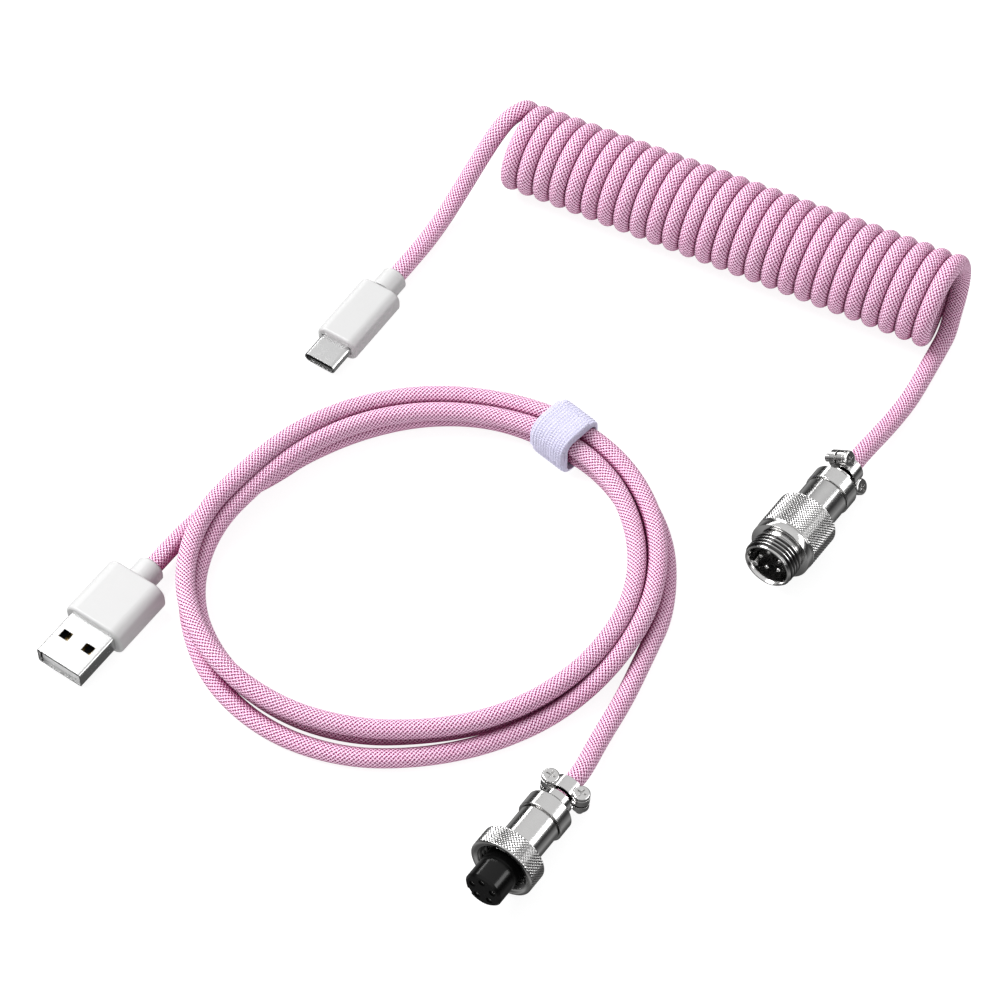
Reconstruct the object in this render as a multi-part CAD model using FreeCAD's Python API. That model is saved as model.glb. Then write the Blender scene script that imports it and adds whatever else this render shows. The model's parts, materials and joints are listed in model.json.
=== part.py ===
import FreeCAD, Part
import math
import os
from FreeCAD import Placement, Rotation, Vector

# Two-piece coiled keyboard cable, millimetres, +Z up, lying on the plane Z = 0.
# Coiled half: USB-C plug, lead, coil, tail, threaded 5-pin male connector.
# Straight half: USB-A plug, lead, looped cord in a hook-and-loop strap, tail,
# 5-way female connector with a knurled coupling nut.

# ---------------------------------------------------------------- driving sizes
CORD_D = 4.3                      # braided cord, outside
CORD_R = CORD_D / 2
ORIGIN_X = -8.92                  # layout point that becomes the part's origin
ORIGIN_Y = -21.65
FIT = 0.05                        # radial clearance of a running or slip fit

# A seat is where a connector lies: its datum point, the compass heading of its
# nose, how far the nose tips up and how far it is rolled about its own axis.
USB_C_SEAT = {"point": (-37.9, 41.8, 3.2), "heading": -123.8, "tilt": 0.0, "roll": 0.0}
USB_A_SEAT = {"point": (-88.6, -37.4, 4.0), "heading": -125.4, "tilt": 0.0, "roll": 0.0}
MALE_SEAT = {"point": (58.2, -24.1, 9.34), "heading": -124.9, "tilt": 5.6, "roll": 0.0}
MALE_CLAMP_SEAT = {"point": (58.2, -24.1, 9.34), "heading": -124.9, "tilt": 5.6, "roll": -58.0}
FEMALE_SEAT = {"point": (-3.75, -104.3, 8.85), "heading": -124.2, "tilt": 6.0, "roll": 0.0}

# USB-C plug, datum at the middle of the overmould's front face.
USB_C_BODY = {"length": 18.2, "width": 10.9, "height": 6.4, "corner": 2.6}
USB_C_BOOT = {"length": 5.8, "radius": 3.2}
USB_C_SHELL = {"width": 8.34, "height": 2.56, "out": 6.65, "in": 6.0, "wall": 0.3}

# USB-A plug, same datum.
USB_A_BODY = {"length": 15.5, "width": 15.6, "height": 8.0, "corner": 3.2}
USB_A_BOOT = {"length": 5.0, "radius": 3.35}
USB_A_SHELL = {"width": 12.0, "height": 4.5, "out": 11.75, "in": 6.5, "wall": 0.3}

# The inner mould behind either plug's shell.
CORE_LENGTH = 6.0
CORE_CORNER = 0.6

# 12 mm threaded connectors. Axial places are measured back from the mating end.
THREAD_R = 6.0
THREAD_PITCH = 1.0
THREAD_DEPTH = 0.55
PIN_COUNT = 5
PIN_CIRCLE_R = 2.6
PIN_R = 0.5
SCREW_Y = 3.9                     # clamp screws, each side of the cord
SCREW_R = 0.9
SCREW_HEAD_R = 1.9
SCREW_HEAD_H = 1.0
SCREW_TIP_Z = -3.7
SLOT_DEPTH = 0.6
LUG_TOP = 1.9                     # height of the clamp bar's lugs over the cord's axis
LUG_BOTTOM = -1.8                 # and of the underside of the saddle's
LUG_LOBE_R = 1.95                 # round end of a lug, under a screw head
JOINT_GAP = 0.35                  # groove left between a connector's front and rear shells
NECK_R = 3.4
NECK_GAP = 1.0                    # from the clamp forward to the neck
WIRE_R = 0.45
WIRE_GATHER = 0.45                # how far the wires draw together at the cord's end
WIRE_SPACE_R = 3.2

# Coil of the coiled half: first and last turn differ a little in size.
COIL_START = (3.2, 96.5)
COIL_HEADING = -26.3
COIL_TURNS = 26.5
COIL_PITCH = 4.22
COIL_R_START = 10.75
COIL_R_END = 11.6

# Looped cord of the straight half, as an oval ring of bundled turns.
RING_CENTRE = (-16.8, -21.3)
RING_OUTER = (56.0, 49.0)
RING_INNER_SHIFT = (-1.6, 0.9)
RING_INNER = (46.4, 39.6)
RING_HEIGHT = 10.0
STRAP_ANGLE = 48.15               # where the strap sits on the ring
STRAP_WIDTH = 10.0
STRAP_INNER = (9.4, 9.2)          # across the bundle, and up
STRAP_T = 1.2
STRAP_RADIUS = 47.1
STRAP_CORNER = 3.2                # outer corner radius of the loop
TAB_T = 0.9
TAB_HINGE_Y = -2.6                # where the overlapping end peels from, across the bundle
TAB_EDGE_Z = -0.4                 # its free edge, from the middle of the loop's height

X_AXIS = Vector(1, 0, 0)
Z_AXIS = Vector(0, 0, 1)


# ---------------------------------------------------------------- shape helpers
def to_part(shape):
    """Layout coordinates to the part's own frame."""
    moved = shape.copy()
    moved.translate(Vector(-ORIGIN_X, -ORIGIN_Y, 0))
    return moved


def save(name, shape):
    """One node: one solid, or a group of separate solids."""
    node = to_part(shape)
    node.exportStep("parts/" + name + ".step")
    print("%-28s volume %9.2f  solids %d  valid %s" % (name, node.Volume, len(node.Solids), node.isValid()))


def seat_placement(seat):
    turn = Rotation(Z_AXIS, seat["heading"])
    turn = turn.multiply(Rotation(Vector(0, 1, 0), -seat["tilt"]))
    turn = turn.multiply(Rotation(X_AXIS, seat["roll"]))
    return Placement(Vector(*seat["point"]), turn)


def seated(shape, seat):
    """A shape drawn with its nose along +X, put where its seat says."""
    moved = shape.copy()
    moved.Placement = seat_placement(seat).multiply(moved.Placement)
    return moved


def on_axis(seat, distance):
    """A layout point on a seat's axis; negative is behind its datum."""
    return seat_placement(seat).multVec(Vector(distance, 0, 0))


def block(x0, x1, y0, y1, z0, z1):
    return Part.makeBox(x1 - x0, y1 - y0, z1 - z0, Vector(x0, y0, z0))


def rod(x0, x1, radius, y=0.0, z=0.0):
    return Part.makeCylinder(radius, x1 - x0, Vector(x0, y, z), X_AXIS)


def turned(profile):
    """A closed (x, radius) outline, turned about the X axis."""
    points = [Vector(x, 0, radius) for x, radius in profile]
    face = Part.Face(Part.makePolygon(points + points[:1]))
    return face.revolve(Vector(0, 0, 0), X_AXIS, 360)


def bar(x0, x1, width, height, corner):
    """A rounded rectangle, width along Y and height along Z, drawn along X."""
    shape = block(x0, x1, -width / 2, width / 2, -height / 2, height / 2)
    along = [edge for edge in shape.Edges if abs(edge.BoundBox.XLength - (x1 - x0)) < 1e-6]
    return shape.makeFillet(corner, along)


def tube(x0, x1, width, height, corner, wall):
    inner = bar(x0 - 1, x1 + 1, width - 2 * wall, height - 2 * wall, corner - wall)
    return bar(x0, x1, width, height, corner).cut(inner)


def thread_crests(x0, x1, radius):
    """Outline points of a thread's crests and roots from x0 forward to x1."""
    points = []
    count = int((x1 - x0) / THREAD_PITCH)
    for turn in range(count):
        start = x0 + turn * THREAD_PITCH
        points.append((start, radius - THREAD_DEPTH))
        points.append((start + 0.45 * THREAD_PITCH, radius))
        points.append((start + 0.60 * THREAD_PITCH, radius))
    return points


def contact_places(offset):
    """The five contacts of the connectors, as (y, z) on their circle."""
    step = 360.0 / PIN_COUNT
    angles = [math.radians(offset + step * number) for number in range(PIN_COUNT)]
    return [(PIN_CIRCLE_R * math.cos(angle), PIN_CIRCLE_R * math.sin(angle)) for angle in angles]


def cord_tube(name, points):
    """A cord's tube: straight runs with tangent arcs at its corners."""
    points = [Vector(*point) for point in points]
    corners = [None]
    for before, corner, after in zip(points, points[1:], points[2:]):
        run_in = (corner - before).normalize()
        run_out = (after - corner).normalize()
        turn = run_in.getAngle(run_out)
        shorter = min(before.distanceToPoint(corner), corner.distanceToPoint(after))
        setback = 0.45 * shorter
        radius = setback / math.tan(turn / 2)
        start = corner - run_in * setback
        finish = corner + run_out * setback
        inward = (run_out - run_in).normalize()
        centre = corner + inward * (radius / math.cos(turn / 2))
        middle = centre - inward * radius
        corners.append((start, middle, finish))
        print("  %s turn %5.1f deg radius %6.1f mm" % (name, math.degrees(turn), radius))
    edges = []
    here = points[0]
    for start, middle, finish in corners[1:]:
        edges.append(Part.LineSegment(here, start).toShape())
        edges.append(Part.Arc(start, middle, finish).toShape())
        here = finish
    edges.append(Part.LineSegment(here, points[-1]).toShape())
    path = Part.Wire(edges)
    section = Part.Wire(Part.makeCircle(CORD_R, points[0], points[1] - points[0]))
    solid = path.makePipeShell([section], True, False)
    wanted = math.pi * CORD_R ** 2 * path.Length
    print("  %s length %.1f mm, volume %.1f of %.1f" % (name, path.Length, solid.Volume, wanted))
    return solid


# ---------------------------------------------------------------- USB plugs
def plug_overmould(body, shell):
    """Soft outer body, hollow in front where the metal shell and core sit."""
    solid = bar(-body["length"], 0, body["width"], body["height"], body["corner"])
    ends = [edge for edge in solid.Edges if edge.BoundBox.XLength < 1e-6]
    solid = solid.makeFillet(0.7, ends)
    hollow = bar(-shell["in"] - CORE_LENGTH, 1, shell["width"], shell["height"], CORE_CORNER)
    return solid.cut(hollow)


def plug_boot(body, boot):
    """Short round sleeve where the cord leaves the overmould."""
    rear = -body["length"] - boot["length"]
    front = -body["length"]
    edge = 0.5
    return turned([
        (rear, CORD_R), (rear, boot["radius"] - edge), (rear + edge, boot["radius"]),
        (front, boot["radius"]), (front, CORD_R),
    ])


def plug_core(shell, contents):
    """Inner mould behind the metal shell, round the joints of the wires."""
    core = bar(-shell["in"] - CORE_LENGTH, -shell["in"], shell["width"], shell["height"], CORE_CORNER)
    for piece in contents:
        core = core.cut(piece)
    return core


def usb_a_metal_shell():
    shell = USB_A_SHELL
    solid = tube(-shell["in"], shell["out"], shell["width"], shell["height"], 0.6, shell["wall"])
    window_x = shell["out"] - 7.5
    for side in (-1, 1):
        y = side * 3.1
        for z in (-shell["height"] / 2, shell["height"] / 2):
            solid = solid.cut(block(window_x, window_x + 2.2, y - 1.25, y + 1.25, z - 0.5, z + 0.5))
    return solid


def usb_a_contacts():
    """Four gold strips on the tongue, with tails that reach the wires."""
    strips = []
    for y, reach in ((-3.5, 10.4), (-1.0, 9.4), (1.0, 9.4), (3.5, 10.4)):
        strips.append(block(-9.0, reach, y - 0.5, y + 0.5, -0.35, -0.1))
    return Part.makeCompound(strips)


def usb_a_insulator(contacts):
    shell = USB_A_SHELL
    width = shell["width"] - 2 * shell["wall"]
    height = shell["height"] - 2 * shell["wall"]
    rear = block(-shell["in"], 1.5, -width / 2, width / 2, -height / 2, height / 2)
    corners = [edge for edge in rear.Edges if abs(edge.BoundBox.XLength - shell["in"] - 1.5) < 1e-6]
    rear = rear.makeFillet(0.3, corners)
    tongue = block(1.5, 11.0, -width / 2 + 0.3, width / 2 - 0.3, -height / 2, -0.1)
    return rear.fuse(tongue).cut(contacts).removeSplitter()


def usb_c_metal_shell():
    shell = USB_C_SHELL
    return tube(-shell["in"], shell["out"], shell["width"], shell["height"],
                shell["height"] / 2 - 0.01, shell["wall"])


def usb_c_contacts():
    """Four contacts above and four below the slot, as on a USB 2.0 plug."""
    strips = []
    for y in (-2.25, -0.75, 0.75, 2.25):
        for z in (-0.65, 0.45):
            strips.append(block(-7.0, 5.6, y - 0.15, y + 0.15, z, z + 0.2))
    return Part.makeCompound(strips)


def usb_c_latches():
    """Side springs that click behind the socket's tongue."""
    latches = [block(-5.0, 5.0, side * 3.3 - 0.15, side * 3.3 + 0.15, -0.35, 0.35) for side in (-1, 1)]
    return Part.makeCompound(latches)


def usb_c_insulator(contacts, latches):
    shell = USB_C_SHELL
    width = shell["width"] - 2 * shell["wall"]
    height = shell["height"] - 2 * shell["wall"]
    solid = bar(-shell["in"], 6.2, width, height, height / 2 - 0.01)
    slot = block(1.0, 7.0, -3.15, 3.15, -0.45, 0.45)
    return solid.cut(slot).cut(contacts).cut(latches)


# ---------------------------------------------------------------- connectors
def clamp_lug(x0, x1, z0, z1):
    """Plate with a round lobe at each end, which carries both clamp screws."""
    plate = block(x0, x1, -SCREW_Y, SCREW_Y, z0, z1)
    for side in (-1, 1):
        foot = Vector((x0 + x1) / 2, side * SCREW_Y, z0)
        plate = plate.fuse(Part.makeCylinder(LUG_LOBE_R, z1 - z0, foot, Z_AXIS))
    return plate


def clamp_screw_holes(solid, radius, middle):
    for side in (-1, 1):
        solid = solid.cut(Part.makeCylinder(radius, 12, Vector(middle, side * SCREW_Y, -6), Z_AXIS))
    return solid


def clamp_saddle(x0, x1):
    """Lower half of the cable clamp, with its threaded lugs."""
    ring = rod(x0, x1, 3.5).common(block(x0, x1, -4, 4, -4, -0.3))
    solid = ring.fuse(clamp_lug(x0, x1, LUG_BOTTOM, -0.3)).cut(rod(x0 - 1, x1 + 1, CORD_R))
    return clamp_screw_holes(solid, SCREW_R, (x0 + x1) / 2)


def clamp_bar(x0, x1):
    """Upper half of the clamp, pulled down onto the cord by two screws."""
    arch = rod(x0, x1, 3.4).common(block(x0, x1, -4, 4, 0.3, 4))
    solid = arch.fuse(clamp_lug(x0, x1, 0.3, LUG_TOP)).cut(rod(x0 - 1, x1 + 1, CORD_R))
    middle = (x0 + x1) / 2
    for side in (-1, 1):
        seat = Part.makeCylinder(SCREW_HEAD_R + FIT, 4, Vector(middle, side * SCREW_Y, LUG_TOP), Z_AXIS)
        solid = solid.cut(seat)
    return clamp_screw_holes(solid, SCREW_R + FIT, middle).removeSplitter()


def clamp_screws(x0, x1):
    """Two cross-head machine screws in the clamp."""
    middle = (x0 + x1) / 2
    top = LUG_TOP + SCREW_HEAD_H
    screws = []
    for side in (-1, 1):
        y = side * SCREW_Y
        shank = Part.makeCylinder(SCREW_R, LUG_TOP - SCREW_TIP_Z, Vector(middle, y, SCREW_TIP_Z), Z_AXIS)
        head = Part.makeCylinder(SCREW_HEAD_R, SCREW_HEAD_H, Vector(middle, y, LUG_TOP), Z_AXIS)
        head = head.makeFillet(0.4, [edge for edge in head.Edges if edge.BoundBox.ZMin > top - 0.1])
        screw = shank.fuse(head)
        for dx, dy in ((1.1, 0.2), (0.2, 1.1)):
            slot = block(middle - dx, middle + dx, y - dy, y + dy, top - SLOT_DEPTH, top + 1)
            screw = screw.cut(slot)
        screws.append(screw)
    return Part.makeCompound(screws)


def rear_shell(head_r, head_x0, head_x1, spigot_r, spigot_x1, cord_end, clamp):
    """Back shell: spigot, head, neck and the lower saddle of the clamp."""
    edge = 0.5
    neck_x0 = clamp[1] + NECK_GAP
    body = turned([
        (neck_x0, CORD_R), (neck_x0, NECK_R), (head_x0, NECK_R), (head_x0, head_r - edge),
        (head_x0 + edge, head_r), (head_x1 - 0.2, head_r), (head_x1, head_r - 0.2),
        (head_x1, spigot_r), (spigot_x1, spigot_r), (spigot_x1, WIRE_SPACE_R),
        (cord_end, WIRE_SPACE_R), (cord_end, CORD_R),
    ])
    bridge = rod(clamp[1], neck_x0, NECK_R).common(block(clamp[1], neck_x0, -4, 4, -4, -0.3))
    bridge = bridge.cut(rod(clamp[1] - 1, neck_x0 + 1, CORD_R))
    return body.fuse(bridge).fuse(clamp_saddle(*clamp)).removeSplitter()


def wires(cord_end, contact_end, offset):
    """Five soldered wires that fan out from the cord's end to the contacts."""
    strands = []
    for y, z in contact_places(offset):
        start = Vector(cord_end, WIRE_GATHER * y, WIRE_GATHER * z)
        finish = Vector(contact_end, y, z)
        strands.append(Part.makeCylinder(WIRE_R, start.distanceToPoint(finish), start, finish - start))
    box = block(cord_end, contact_end, -4, 4, -4, 4)
    return Part.makeCompound([strand.common(box) for strand in strands])


# Axial stations of the male connector, back from its rim.
MALE_THREAD_X = -4.4
MALE_NECK_X = -5.4
MALE_FLANGE_X = -7.4
MALE_KNURL_X = -17.1
MALE_SHELL_X = -25.0
MALE_HEAD_X = -29.5
MALE_CORD_END_X = -27.0
MALE_CLAMP = (-35.5, -32.1)
MALE_CONTACT_ANGLE = 38.0
MALE_BORE_R = 4.8
MALE_FLOOR_X = -6.5               # face of the insulator that holds the pins
MALE_KEY_ANGLE = 220.0


def male_front_shell():
    """Turned shell: threaded nose, smooth flange, knurled grip and plain skirt."""
    thread = thread_crests(MALE_THREAD_X, -0.4, THREAD_R)
    outline = [
        (MALE_SHELL_X, 4.5), (MALE_SHELL_X, 5.2), (MALE_KNURL_X, 5.2), (MALE_KNURL_X, 7.1),
        (MALE_KNURL_X + 0.3, 7.4), (MALE_FLANGE_X - 0.2, 7.4), (MALE_FLANGE_X, 7.15),
        (MALE_FLANGE_X + 0.1, 7.3), (MALE_NECK_X - 0.3, 7.3), (MALE_NECK_X, 7.0),
        (MALE_NECK_X, 5.4), (MALE_THREAD_X, 5.4),
    ]
    outline += thread
    outline += [
        (-0.4, 5.8), (0, 5.6), (0, MALE_BORE_R + 0.2), (-0.2, MALE_BORE_R),
        (MALE_FLOOR_X - 4.5, MALE_BORE_R), (MALE_FLOOR_X - 4.5, 4.0), (-20.0, 4.0), (-20.0, 4.5),
    ]
    shell = turned(outline)
    angle = math.radians(MALE_KEY_ANGLE)
    key = block(MALE_FLOOR_X, -1.2, -0.7, 0.7, MALE_BORE_R - 0.8, MALE_BORE_R + 0.3)
    key.rotate(Vector(0, 0, 0), X_AXIS, math.degrees(angle) - 90)
    return shell.fuse(key)


def male_pins():
    pins = []
    for y, z in contact_places(MALE_CONTACT_ANGLE):
        pin = rod(-13.0, -1.9, PIN_R, y, z)
        tip = Part.makeSphere(PIN_R, Vector(-1.9, y, z))
        pins.append(pin.fuse(tip))
    return Part.makeCompound(pins)


def male_insulator(pins):
    return rod(MALE_FLOOR_X - 4.5, MALE_FLOOR_X, MALE_BORE_R).cut(pins)


# Axial stations of the female connector, back from the face of its insert.
NUT_FRONT_X = -6.8
NUT_REAR_X = -12.0
NUT_LIP_X = -11.1
NUT_R = 7.6
FEMALE_SHELL_FRONT_X = -9.5
FEMALE_SHELL_REAR_X = -21.0
FEMALE_HEAD_X = -25.8
FEMALE_CORD_END_X = -24.0
FEMALE_CLAMP = (-32.8, -29.4)
FEMALE_CONTACT_ANGLE = 26.0
FEMALE_SHELL_R = 4.8
INSERT_R = 4.45                   # where it stands out of the shell
INSERT_ROOT_R = 4.0               # where the shell holds it
INSERT_ROOT_X = -14.5


def female_shell():
    """Plain tube round the insert, grooved for the ring that keeps the nut on."""
    return turned([
        (FEMALE_SHELL_REAR_X, INSERT_ROOT_R), (FEMALE_SHELL_REAR_X, FEMALE_SHELL_R),
        (-11.0, FEMALE_SHELL_R), (-11.0, 4.62), (-10.5, 4.62), (-10.5, FEMALE_SHELL_R),
        (FEMALE_SHELL_FRONT_X, FEMALE_SHELL_R), (FEMALE_SHELL_FRONT_X, INSERT_ROOT_R),
    ])


def nut_retaining_ring():
    ring = rod(-11.0, -10.5, 5.35).cut(rod(-12.0, -9.0, 4.62))
    return ring.cut(block(-12.0, -9.0, -0.8, 0.8, 0, 6))


def coupling_nut():
    """Knurled ring nut that turns freely on the shell."""
    crest = THREAD_R - THREAD_DEPTH
    bore = []
    for x, radius in reversed(thread_crests(NUT_LIP_X + 0.6, NUT_FRONT_X - 0.3, THREAD_DEPTH)):
        bore.append((x, crest + THREAD_DEPTH - radius + FIT))
    return turned([
        (NUT_REAR_X, FEMALE_SHELL_R + FIT), (NUT_REAR_X, NUT_R - 0.4), (NUT_REAR_X + 0.4, NUT_R),
        (NUT_FRONT_X - 0.3, NUT_R), (NUT_FRONT_X, NUT_R - 0.3), (NUT_FRONT_X, THREAD_R + 0.35),
    ] + bore + [
        (NUT_LIP_X, crest + THREAD_DEPTH), (NUT_LIP_X, FEMALE_SHELL_R + FIT),
    ])


def female_contacts():
    sockets = []
    for y, z in contact_places(FEMALE_CONTACT_ANGLE):
        sockets.append(rod(-17.0, -0.6, 0.8, y, z).cut(rod(-7.0, 0, PIN_R + FIT, y, z)))
    return Part.makeCompound(sockets)


def female_insert():
    """Fluted insulator with five contact bores and a keyway."""
    chamfer = 0.5
    solid = turned([
        (INSERT_ROOT_X, 0), (INSERT_ROOT_X, INSERT_ROOT_R), (FEMALE_SHELL_FRONT_X, INSERT_ROOT_R),
        (FEMALE_SHELL_FRONT_X, INSERT_R), (-chamfer, INSERT_R), (0, INSERT_R - chamfer), (0, 0),
    ])
    for y, z in contact_places(FEMALE_CONTACT_ANGLE):
        solid = solid.cut(rod(-17.0, 0.5, 0.8, y, z))
    keyway = block(-8.0, 0.5, -0.8, 0.8, INSERT_R - 0.9, INSERT_R + 1)
    keyway.rotate(Vector(0, 0, 0), X_AXIS, MALE_KEY_ANGLE - 90)
    return solid.cut(keyway).removeSplitter()


# ---------------------------------------------------------------- coil, ring, strap
def coil_solid():
    """The close coil as one round solid of its outer shape, resting on Z = 0."""
    heading = math.radians(COIL_HEADING)
    along = Vector(math.cos(heading), math.sin(heading), 0)
    length = COIL_PITCH * COIL_TURNS + CORD_D
    start = Vector(COIL_START[0], COIL_START[1], 0) - along * CORD_R
    seat = {"point": (start.x, start.y, COIL_R_START), "heading": COIL_HEADING,
            "tilt": math.degrees(math.asin((COIL_R_END - COIL_R_START) / length)), "roll": 0.0}
    return seated(Part.makeCone(COIL_R_START, COIL_R_END, length, Vector(0, 0, 0), X_AXIS), seat)


def oval(centre, half_axes, height):
    ellipse = Part.Ellipse(Vector(centre[0], centre[1], 0), half_axes[0], half_axes[1])
    return Part.Face(Part.Wire(ellipse.toShape())).extrude(Vector(0, 0, height))


def ring_solid():
    """The bundled turns as one closed oval ring, drawn in where the strap holds it."""
    inner_centre = (RING_CENTRE[0] + RING_INNER_SHIFT[0], RING_CENTRE[1] + RING_INNER_SHIFT[1])
    ring = oval(RING_CENTRE, RING_OUTER, RING_HEIGHT).cut(oval(inner_centre, RING_INNER, RING_HEIGHT))
    half = STRAP_WIDTH / 2
    round_strap = seated(block(-half, half, -9, 9, -9, 9), strap_seat())
    in_strap = seated(bar(-half, half, *STRAP_INNER, STRAP_CORNER - STRAP_T), strap_seat())
    return ring.cut(round_strap).fuse(ring.common(in_strap)).removeSplitter()


def strap_seat():
    angle = math.radians(STRAP_ANGLE)
    x = RING_CENTRE[0] + STRAP_RADIUS * math.cos(angle)
    y = RING_CENTRE[1] + STRAP_RADIUS * math.sin(angle)
    middle = STRAP_T + STRAP_INNER[1] / 2
    return {"point": (x, y, middle), "heading": STRAP_ANGLE + 90 - 1.5, "tilt": 0.0, "roll": 0.0}


def strap_layer(inner, thickness, corner):
    """One closed layer of strap round an opening of the given size."""
    half = STRAP_WIDTH / 2
    return tube(-half, half, inner[0] + 2 * thickness, inner[1] + 2 * thickness, corner, thickness)


def strap_loop():
    return seated(strap_layer(STRAP_INNER, STRAP_T, STRAP_CORNER), strap_seat())


def strap_tab():
    """The strap's overlapping end: over the top and halfway down the ring's inside."""
    inner = (STRAP_INNER[0] + 2 * STRAP_T, STRAP_INNER[1] + 2 * STRAP_T)
    layer = strap_layer(inner, TAB_T, STRAP_CORNER + TAB_T)
    half = STRAP_WIDTH / 2
    return seated(layer.common(block(-half, half, TAB_HINGE_Y, 9, TAB_EDGE_Z, 9)), strap_seat())


# ---------------------------------------------------------------- cord routes
COIL_LEAD_ROUTE = [
    on_axis(USB_C_SEAT, -USB_C_BODY["length"]),
    on_axis(USB_C_SEAT, -31.0),
    (-15.8, 78.0, 3.2),
    (-9.6, 87.8, 7.6),
    (-3.6, 94.2, 14.2),
    (4.0, 96.2, 17.6),
]
COIL_TAIL_ROUTE = [
    (103.0, 47.6, 2.3),
    (99.8, 37.8, 2.3),
    (94.3, 27.8, 2.4),
    (88.3, 18.8, 3.3),
    on_axis(MALE_SEAT, -42.0),
    on_axis(MALE_SEAT, MALE_CORD_END_X),
]
RING_LEAD_ROUTE = [
    on_axis(USB_A_SEAT, -USB_A_BODY["length"]),
    on_axis(USB_A_SEAT, -27.0),
    (-68.2, -7.0, 2.3),
    (-63.6, -2.8, 2.3),
]
RING_TAIL_ROUTE = [
    (36.3, -22.0, 2.3),
    (34.6, -33.0, 2.3),
    (30.8, -44.8, 2.3),
    (26.0, -55.2, 2.4),
    (20.8, -65.4, 3.3),
    on_axis(FEMALE_SEAT, -38.0),
    on_axis(FEMALE_SEAT, FEMALE_CORD_END_X),
]


# ---------------------------------------------------------------- build
def build_usb_c():
    shell = USB_C_SHELL
    contacts = usb_c_contacts()
    latches = usb_c_latches()
    board = block(-11.0, -shell["in"], -3.6, 3.6, -0.4, 0.4).cut(contacts)
    save("usb_c_overmould", seated(plug_overmould(USB_C_BODY, shell), USB_C_SEAT))
    save("usb_c_boot", seated(plug_boot(USB_C_BODY, USB_C_BOOT), USB_C_SEAT))
    save("usb_c_metal_shell", seated(usb_c_metal_shell(), USB_C_SEAT))
    save("usb_c_insulator", seated(usb_c_insulator(contacts, latches), USB_C_SEAT))
    save("usb_c_contacts", seated(contacts, USB_C_SEAT))
    save("usb_c_latch_springs", seated(latches, USB_C_SEAT))
    save("usb_c_circuit_board", seated(board, USB_C_SEAT))
    core = plug_core(shell, [board, contacts])
    save("usb_c_inner_mould", seated(core, USB_C_SEAT))


def build_usb_a():
    contacts = usb_a_contacts()
    save("usb_a_overmould", seated(plug_overmould(USB_A_BODY, USB_A_SHELL), USB_A_SEAT))
    save("usb_a_boot", seated(plug_boot(USB_A_BODY, USB_A_BOOT), USB_A_SEAT))
    save("usb_a_metal_shell", seated(usb_a_metal_shell(), USB_A_SEAT))
    save("usb_a_insulator", seated(usb_a_insulator(contacts), USB_A_SEAT))
    save("usb_a_contacts", seated(contacts, USB_A_SEAT))
    core = plug_core(USB_A_SHELL, [contacts])
    save("usb_a_inner_mould", seated(core, USB_A_SEAT))


def build_male():
    pins = male_pins()
    head_front = MALE_SHELL_X - JOINT_GAP
    back = rear_shell(5.5, MALE_HEAD_X, head_front, 4.5, -20.5, MALE_CORD_END_X, MALE_CLAMP)
    save("male_front_shell", seated(male_front_shell(), MALE_SEAT))
    save("male_insulator", seated(male_insulator(pins), MALE_SEAT))
    save("male_pins", seated(pins, MALE_SEAT))
    save("male_wires", seated(wires(MALE_CORD_END_X, -13.0, MALE_CONTACT_ANGLE), MALE_SEAT))
    save("male_rear_shell", seated(back, MALE_CLAMP_SEAT))
    save("male_clamp_bar", seated(clamp_bar(*MALE_CLAMP), MALE_CLAMP_SEAT))
    save("male_clamp_screws", seated(clamp_screws(*MALE_CLAMP), MALE_CLAMP_SEAT))


def build_female():
    head_front = FEMALE_SHELL_REAR_X - JOINT_GAP
    back = rear_shell(5.4, FEMALE_HEAD_X, head_front, 4.0, -17.5, FEMALE_CORD_END_X, FEMALE_CLAMP)
    save("female_shell", seated(female_shell(), FEMALE_SEAT))
    save("female_insert", seated(female_insert(), FEMALE_SEAT))
    save("female_contacts", seated(female_contacts(), FEMALE_SEAT))
    save("female_wires", seated(wires(FEMALE_CORD_END_X, -17.0, FEMALE_CONTACT_ANGLE), FEMALE_SEAT))
    save("nut_retaining_ring", seated(nut_retaining_ring(), FEMALE_SEAT))
    save("coupling_nut", seated(coupling_nut(), FEMALE_SEAT))
    save("female_rear_shell", seated(back, FEMALE_SEAT))
    save("female_clamp_bar", seated(clamp_bar(*FEMALE_CLAMP), FEMALE_SEAT))
    save("female_clamp_screws", seated(clamp_screws(*FEMALE_CLAMP), FEMALE_SEAT))


def build_cords():
    coil = coil_solid()
    loop = strap_loop()
    ring = ring_solid()
    save("coiled_cord_coil", coil)
    save("coiled_cord_lead", cord_tube("coiled_cord_lead", COIL_LEAD_ROUTE).cut(coil))
    save("coiled_cord_tail", cord_tube("coiled_cord_tail", COIL_TAIL_ROUTE).cut(coil))
    save("straight_cord_ring", ring.cut(loop))
    save("straight_cord_lead", cord_tube("straight_cord_lead", RING_LEAD_ROUTE).cut(ring))
    save("straight_cord_tail", cord_tube("straight_cord_tail", RING_TAIL_ROUTE).cut(ring))
    save("strap_loop", loop)
    save("strap_tab", strap_tab())


os.makedirs("parts", exist_ok=True)
build_usb_c()
build_usb_a()
build_male()
build_female()
build_cords()
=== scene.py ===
import json
import math

import bpy
from mathutils import Matrix, Vector


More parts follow.
